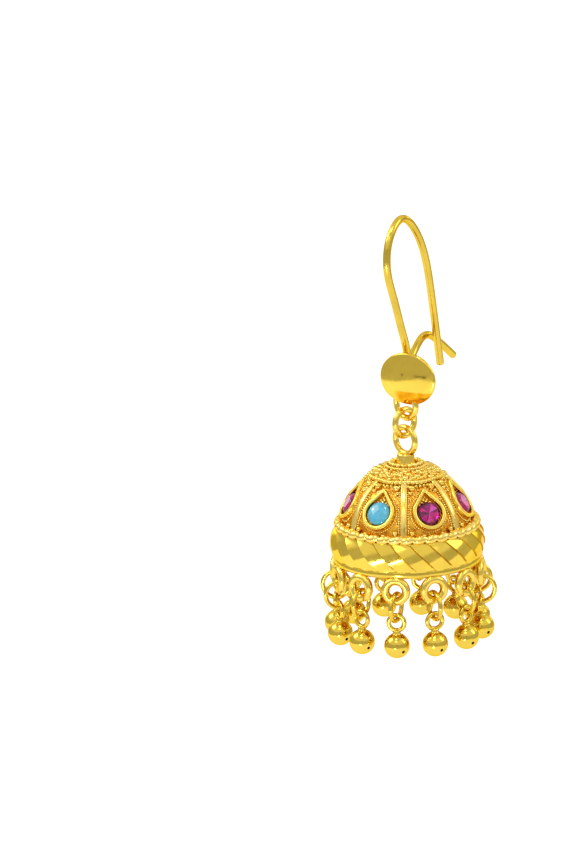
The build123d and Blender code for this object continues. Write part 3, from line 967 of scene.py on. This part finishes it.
class MakeSettings(bpy.types.Operator):
    """Teardrop bezels and the granules inside their points"""
    bl_idname = "jhumka.settings"
    bl_label = "Bezels"

    def execute(self, context):
        # Wall: from the inner to the outer outline by the cosine, up to a round top by the sine
        outer_r, length = bell().bezel_outer / MM, bell().bezel_length / MM
        outer = teardrop(outer_r, length)[:, None]
        inner = teardrop(bell().bezel_inner / MM, length - BEZEL_POINT_WALL)[:, None]
        a = (np.arange(20) * 2 * pi / 20)[None, :, None]
        share = 0.5 + 0.5 * squared_off(np.cos(a), 0.6)
        reach = np.where(np.sin(a) > 0, BEZEL_ROUND, BEZEL_FOOT)
        height = bell().bezel_rise / MM - BEZEL_ROUND + reach * squared_off(np.sin(a), 0.7)
        flat = inner * (1 - share) + outer * share
        wall = skin(np.concatenate([flat, np.broadcast_to(height, flat.shape[:2] + (1,))], -1), loop=True)
        centres, axes = (np.array(part) for part in zip(*map(setting_frame, STONE_TURNS)))
        add_piece("bezels", copies(wall, centres, axes=axes), burnished_gold)
        # Fine beads on the dome round each bezel, close against its wall
        edge = teardrop(outer_r + BEZEL_BEAD_GAP, length + BEZEL_BEAD_GAP)
        edge = np.vstack([edge, edge[0]])
        run = np.concatenate([[0], np.cumsum(np.linalg.norm(np.diff(edge, axis=0), axis=1))])
        stops = np.linspace(0, run[-1], BEZEL_BEADS, endpoint=False)
        x, y = (np.interp(stops, run, edge[:, k]) for k in range(2))
        dome_r = bell().dome_radius / MM
        height = np.sqrt((dome_r + 0.05) ** 2 - x**2 - (y - STONE_DROP) ** 2) - dome_r
        row = granules(np.column_stack([x, y, height]), BEZEL_BEAD_R)
        add_piece("bezel_beads", copies(row, centres, axes=axes), granulation_gold)
        x, y, radius = POINT_GRANULES.T
        cluster = granules(np.column_stack([x, y, 0.6 * radius - SEAT_DEPTH]), radius)
        add_piece("point_granules", copies(cluster, centres, axes=axes), granulation_gold)
        return {"FINISHED"}


def level_ring(radius, z, count, start=0.0):
    """Points evenly round a level circle."""
    a = start + np.arange(count) * 2 * pi / count
    return np.column_stack([radius * np.cos(a), radius * np.sin(a), np.full(count, z)])


def cut_stone():
    """Crown of a brilliant: an eight-sided table, eight triangles round it, eight kites, and sixteen
    triangles down to the girdle; below, a shallow point. The kites are flat because their side corners lie
    in the plane of the table's corner and the girdle."""
    girdle_r = bell().stone_radius / MM
    side_r = 0.8 * girdle_r
    side_z = CROWN_HEIGHT * (girdle_r - side_r * cos(pi / 8)) / (girdle_r - TABLE_R)
    top = STONE_BASE + GIRDLE_HEIGHT
    points = np.vstack([level_ring(TABLE_R, top + CROWN_HEIGHT, 8),
                        level_ring(side_r, top + side_z, 8, pi / 8),
                        level_ring(girdle_r, top, 16), level_ring(girdle_r, STONE_BASE, 16),
                        level_ring(0.55 * girdle_r, STONE_BASE - 0.18, 8, pi / 8),
                        [[0, 0, STONE_BASE - 0.36]]])
    k, j = np.arange(8), np.arange(16)
    after, before = (k + 1) % 8, (k - 1) % 8
    # Number of the first point of each round, and of the point below
    table, side, edge, base, low, tip = 0, 8, 16, 32, 48, 56
    quads = np.vstack([np.stack([table + k, side + before, edge + 2 * k, side + k], -1),
                       np.stack([edge + j, base + j, base + (j + 1) % 16, edge + (j + 1) % 16], -1),
                       np.stack([base + 2 * k, low + before, np.full(8, tip), low + k], -1)])
    fans = np.vstack([np.stack([np.zeros(6, int), np.arange(1, 7), np.arange(2, 8)], -1),
                      np.stack([table + k, side + k, table + after], -1),
                      np.stack([side + k, edge + 2 * k, edge + 2 * k + 1], -1),
                      np.stack([side + k, edge + 2 * k + 1, edge + 2 * after], -1),
                      np.stack([base + 2 * k, low + k, base + 2 * k + 1], -1),
                      np.stack([base + 2 * k + 1, low + k, base + 2 * after], -1)])
    return points, quads, fans


def foil_cup():
    """Foil under a stone: three rings of small flat facets, each half a step on from the last."""
    girdle_r = bell().stone_radius / MM * 0.985
    radii = (girdle_r * np.array([1.0, 1.0, 0.72, 0.42, 0.12]))[:, None]
    heights = STONE_BASE + np.array([0.2, -0.04, -0.2, -0.33, -0.42])[:, None]
    turns = np.arange(16)[None] * 2 * pi / 16 + np.array([0, 0, 1, 0, 1])[:, None] * pi / 16
    uneven = np.random.default_rng(5).uniform(-0.05, 0.05, turns.shape) * [[0], [0], [1], [1], [1]]
    rows = np.stack([radii * np.cos(turns), radii * np.sin(turns), heights + uneven], -1)
    return skin(rows[::-1])


def smooth_stone():
    """Cabochon: a flattened half ball on a short straight side."""
    radius = bell().stone_radius / MM
    a = np.radians(np.linspace(4, 90, 16))
    top = np.stack([radius * np.sin(a), STONE_BASE + GIRDLE_HEIGHT + SMOOTH_RISE * np.cos(a)], -1)
    return turned(np.vstack([top, [(radius, STONE_BASE + 0.1), (radius, STONE_BASE)]]), 48)


class MakeStones(bpy.types.Operator):
    """Three smooth turquoise stones and four cut pink ones"""
    bl_idname = "jhumka.stones"
    bl_label = "Stones"

    def execute(self, context):
        random = np.random.default_rng(11)
        for number, turn in enumerate(STONE_TURNS, start=1):
            centre, axes = setting_frame(turn)
            node = f"stone_{number}"
            if number in SMOOTH_STONES:
                add_piece(f"turquoise_{number}", copies(smooth_stone(), centre, axes=axes), turquoise_resin,
                          node=node, crease=50)
                continue
            add_piece(f"cut_stone_{number}", copies(cut_stone(), centre, axes=axes), cut_glass,
                      node=node, flat=True)
            foil = add_piece(f"foil_{number}", copies(foil_cup(), centre, axes=axes), mirror_foil,
                             node=node, flat=True)
            # Each facet of the foil has a painted tone of its own, painted glints and shade, from its stone's
            # painted lift up to 1
            lift = FOIL_LIFT.get(number, 0)
            tones = lift + (1 - lift) * random.random(len(foil.data.polygons))
            facet_tone = foil.data.attributes.new("facet_tone", "FLOAT", "FACE")
            facet_tone.data.foreach_set("value", tones.astype(np.float32))
        return {"FINISHED"}


class MakeRimRings(bpy.types.Operator):
    """Rings soldered under the lip, and the jump rings in them"""
    bl_idname = "jhumka.rings"
    bl_label = "Rim rings and jump rings"

    def execute(self, context):
        t = tassels()
        rings = [ring(outward(turn) * RIM_RING_RADIUS + (LIP_Z - RIM_RING_DROP) * UP, turn,
                      t.rim_ring_radius / MM, t.rim_ring_wire / MM / 2, 48, 18) for turn in DROP_TURNS]
        add_piece("rim_rings", joined(rings), burnished_gold)
        for number, turn in enumerate(DROP_TURNS, start=1):
            centre, node = outward(turn) * RIM_RING_RADIUS + jump_ring_z() * UP, f"jump_ring_{number:02d}"
            # One jump ring in two hangs a little turned one way, the next one the other way
            jump_ring = ring(centre, turn + 90 + JUMP_RING_TURNS[number % 2], t.jump_ring_radius / MM,
                             t.jump_ring_wire / MM / 2, 64, 16)
            add_piece(f"{node}.gold", jump_ring, polished_gold, node=node)
        return {"FINISHED"}


def jump_ring_z():
    """Height of the jump rings' middles, where they hang in the rim rings with a little room."""
    t = tassels()
    return (LIP_Z - RIM_RING_DROP + RING_ROOM
            - (t.rim_ring_radius + t.jump_ring_radius - (t.rim_ring_wire + t.jump_ring_wire) / 2) / MM)


class MakeBallDrops(bpy.types.Operator):
    """Ball drops with their eyes, necks and vents"""
    bl_idname = "jhumka.balls"
    bl_label = "Ball drops"

    def execute(self, context):
        t = tassels()
        radius = t.ball_radius / MM
        eye_z = (jump_ring_z() + RING_ROOM
                 - (t.jump_ring_radius + t.eye_radius - (t.jump_ring_wire + t.eye_wire) / 2) / MM)
        facing = VENT_DIRECTION / np.linalg.norm(VENT_DIRECTION)
        side = np.cross(UP, facing) / np.linalg.norm(np.cross(UP, facing))
        axes = np.array([side, np.cross(facing, side), facing])
        # Ball turned round its vent: the hole's floor and wall, a small round edge, then the ball to its far
        # pole
        a = np.linspace(np.arcsin((VENT_R + 0.04) / radius), pi - 0.08, 40)
        hole = [(VENT_R, radius - VENT_DEPTH), (VENT_R, radius - 0.06), (VENT_R + 0.015, radius - 0.025)]
        shell = turned(np.vstack([hole, np.stack([radius * np.sin(a), radius * np.cos(a)], -1)]), 56)
        neck = turned([(0.25, radius + 0.42), (NECK_R, radius + 0.36), (NECK_R, radius + 0.1),
                       (NECK_R + 0.05, radius), (NECK_R + 0.16, radius - 0.1), (NECK_R, radius - 0.3)], 28)
        for number, turn in enumerate(DROP_TURNS, start=1):
            middle, node = outward(turn) * RIM_RING_RADIUS, f"ball_drop_{number:02d}"
            centre = middle + (eye_z - BALL_DROP_LENGTH) * UP
            eye = ring(middle + eye_z * UP, turn, t.eye_radius / MM, t.eye_wire / MM / 2, 48, 16)

            def in_vent(middles, centre=centre):
                """Faces inside the vent: near its axis, on its side of the ball's centre."""
                off = middles - centre
                depth = off @ facing
                return (np.linalg.norm(off - depth[:, None] * facing, axis=1) < VENT_R + 0.01) & (depth > 0)

            # The faces inside the vent take the painted shade of a deep hole
            add_piece(f"{node}.gold", joined([copies(shell, centre, axes=axes), copies(neck, centre), eye]),
                      polished_gold, node=node, hollow=in_vent)
        return {"FINISHED"}


# ---- Stage ----
def towards(turn, rise):
    """Direction from the earring at a turn and a rise."""
    return Vector(outward(turn)) * cos(radians(rise)) + Vector((0, 0, sin(radians(rise))))


def lay_plate(name, corners, finish_of):
    """Flat four-cornered thing of the stage, in metres."""
    mesh = bpy.data.meshes.new(name)
    mesh.from_pydata(np.array(corners), [], [(0, 1, 2, 3)])
    mesh.materials.append(finished(finish_of))
    plate = bpy.data.objects.new(name, mesh)
    bpy.context.scene.collection.objects.link(plate)
    return plate


def hang_lamp(name, turn, rise, distance, glow, width, height=None):
    """Lamp that faces the earring and that the camera doesn't see: a softbox, or a round bare lamp where no
    height is given. Its power is how bright it looks x pi x its area."""
    light = bpy.data.lights.new(name, "AREA")
    light.shape, light.size = "DISK", width
    area = pi * width**2 / 4
    if height:
        light.shape, light.size_y = "RECTANGLE", height
        area = width * height
    light.energy = glow * pi * area
    lamp = bpy.data.objects.new(name, light)
    facing = towards(turn, rise)
    lamp.location = TARGET + facing * distance
    lamp.rotation_euler = facing.to_track_quat("Z", "Y").to_euler()
    lamp.visible_camera = False
    bpy.context.scene.collection.objects.link(lamp)
    return lamp


def studio_room():
    """Room that the metal reflects, by the sine of the rise: grey at eye level, white walls of a light tent
    from about 24 to 57 degrees up, and a dimmer ceiling."""
    world = bpy.data.worlds.new("studio_room")
    world.use_nodes = True
    tree = world.node_tree
    tree.nodes.clear()
    direction = add_node(tree, "ShaderNodeTexCoord").outputs["Generated"]
    rise = add_node(tree, "ShaderNodeSeparateXYZ", {"Vector": direction}).outputs["Z"]
    levels = [(0.0, 0.58), (0.27, 0.58), (0.4, 0.92), (0.84, 0.95), (0.93, 0.62), (1.0, 0.58)]
    room = add_node(tree, "ShaderNodeValToRGB", {"Fac": rise},
                    [(place, (level, level, level, 1)) for place, level in levels])
    air = add_node(tree, "ShaderNodeBackground", {"Color": room, "Strength": 1.0})
    # The bare backdrop past the table is plain white from every side; only the metal reflects the grey room
    seen = add_node(tree, "ShaderNodeLightPath").outputs["Is Camera Ray"]
    backdrop = add_node(tree, "ShaderNodeBackground", {"Color": (1, 1, 1, 1), "Strength": 1.0})
    shown = add_node(tree, "ShaderNodeMixShader", {0: seen, 1: air, 2: backdrop})
    add_node(tree, "ShaderNodeOutputWorld", {"Surface": shown}).is_active_output = True
    return world


def place_camera(settings):
    """Camera on a line from the earring at its turn and rise, rolled, then turned aside."""
    turn = degrees(settings.camera_turn)
    back, right = towards(turn, degrees(settings.camera_rise)), Vector(along(turn))
    level = Matrix((right, back.cross(right), back)).transposed().to_4x4()
    camera_data = bpy.data.cameras.new("camera")
    camera_data.lens, camera_data.sensor_width = settings.lens, 36
    camera_data.clip_start, camera_data.clip_end = 0.01, 100
    camera = bpy.data.objects.new("camera", camera_data)
    camera.matrix_world = (Matrix.Translation(TARGET + back * settings.camera_distance) @ level
                           @ Matrix.Rotation(-settings.camera_roll, 4, "Z")
                           @ Matrix.Rotation(settings.camera_aside, 4, "Y"))
    bpy.context.scene.collection.objects.link(camera)
    bpy.context.scene.camera = camera


class MakeStage(bpy.types.Operator):
    """Light table, softboxes and camera"""
    bl_idname = "jhumka.stage"
    bl_label = "Table, light and camera"

    def execute(self, context):
        settings = stage_settings()
        # Table: a long oblong, near in front of the earring and running far back behind it
        turn = degrees(settings.camera_turn)
        ends = [(-TABLE_HALF_WIDTH, TABLE_FRONT), (TABLE_HALF_WIDTH, TABLE_FRONT),
                (TABLE_HALF_WIDTH, -TABLE_BACK), (-TABLE_HALF_WIDTH, -TABLE_BACK)]
        corners = [across * along(turn) + near * outward(turn) - TABLE_DROP * UP for across, near in ends]
        lay_plate("light_table", corners, light_table)
        for lamp in SOFTBOXES + LAMPS:
            hang_lamp(*lamp)
        glint = hang_lamp(*BAND_LAMP)
        glint.light_linking.receiver_collection = bpy.data.collections.new(BAND_GLINT)
        # Cards behind the camera and left of it: small dark reflections on the balls, the disc and the band
        for name, turn, rise, distance, width, height in CARDS:
            facing, right = towards(turn, rise), Vector(along(turn))
            middle, up = TARGET + facing * distance, facing.cross(right)
            corners = [middle + right * a * width / 2 + up * b * height / 2
                       for a, b in ((-1, -1), (1, -1), (1, 1), (-1, 1))]
            lay_plate(name, corners, black_card).visible_camera = False
        context.scene.world = studio_room()
        context.scene.view_settings.view_transform = "Standard"
        place_camera(settings)
        return {"FINISHED"}


class JhumkaPanel(bpy.types.Panel):
    """Sizes, colours and pieces of the earring"""
    bl_label = "Jhumka earring"
    bl_idname = "VIEW3D_PT_jhumka"
    bl_space_type = "VIEW_3D"
    bl_region_type = "UI"
    bl_category = "Jhumka"

    def draw(self, context):
        for group in PROPERTY_GROUPS:
            settings = getattr(context.scene, group)
            box = self.layout.box()
            for name in settings.__annotations__:
                box.prop(settings, name)
        for operator in OPERATORS:
            self.layout.operator(operator.bl_idname)


PROPERTY_GROUPS = {"jhumka_hook": JhumkaHook, "jhumka_bell": JhumkaBell, "jhumka_tassels": JhumkaTassels,
                   "jhumka_finish": JhumkaFinish, "jhumka_stage": JhumkaStage}
OPERATORS = (MakeStage, MakeEarWire, MakeDisc, MakeChain, MakeDome, MakeBand, MakeCapOrnament, MakeRibs,
             MakeSettings, MakeStones, MakeRimRings, MakeBallDrops)


def register():
    for name, group in PROPERTY_GROUPS.items():
        bpy.utils.register_class(group)
        setattr(bpy.types.Scene, name, PointerProperty(type=group))
    for operator in OPERATORS:
        bpy.utils.register_class(operator)
    bpy.utils.register_class(JhumkaPanel)


def unregister():
    bpy.utils.unregister_class(JhumkaPanel)
    for operator in reversed(OPERATORS):
        bpy.utils.unregister_class(operator)
    for name, group in reversed(list(PROPERTY_GROUPS.items())):
        delattr(bpy.types.Scene, name)
        bpy.utils.unregister_class(group)


def main():
    register()
    bpy.ops.jhumka.stage()
    bpy.ops.jhumka.ear_wire()
    bpy.ops.jhumka.disc()
    bpy.ops.jhumka.chain()
    bpy.ops.jhumka.dome()
    bpy.ops.jhumka.band()
    bpy.ops.jhumka.cap_ornament()
    bpy.ops.jhumka.ribs()
    bpy.ops.jhumka.settings()
    bpy.ops.jhumka.stones()
    bpy.ops.jhumka.rings()
    bpy.ops.jhumka.balls()


if __name__ == "__main__":
    main()
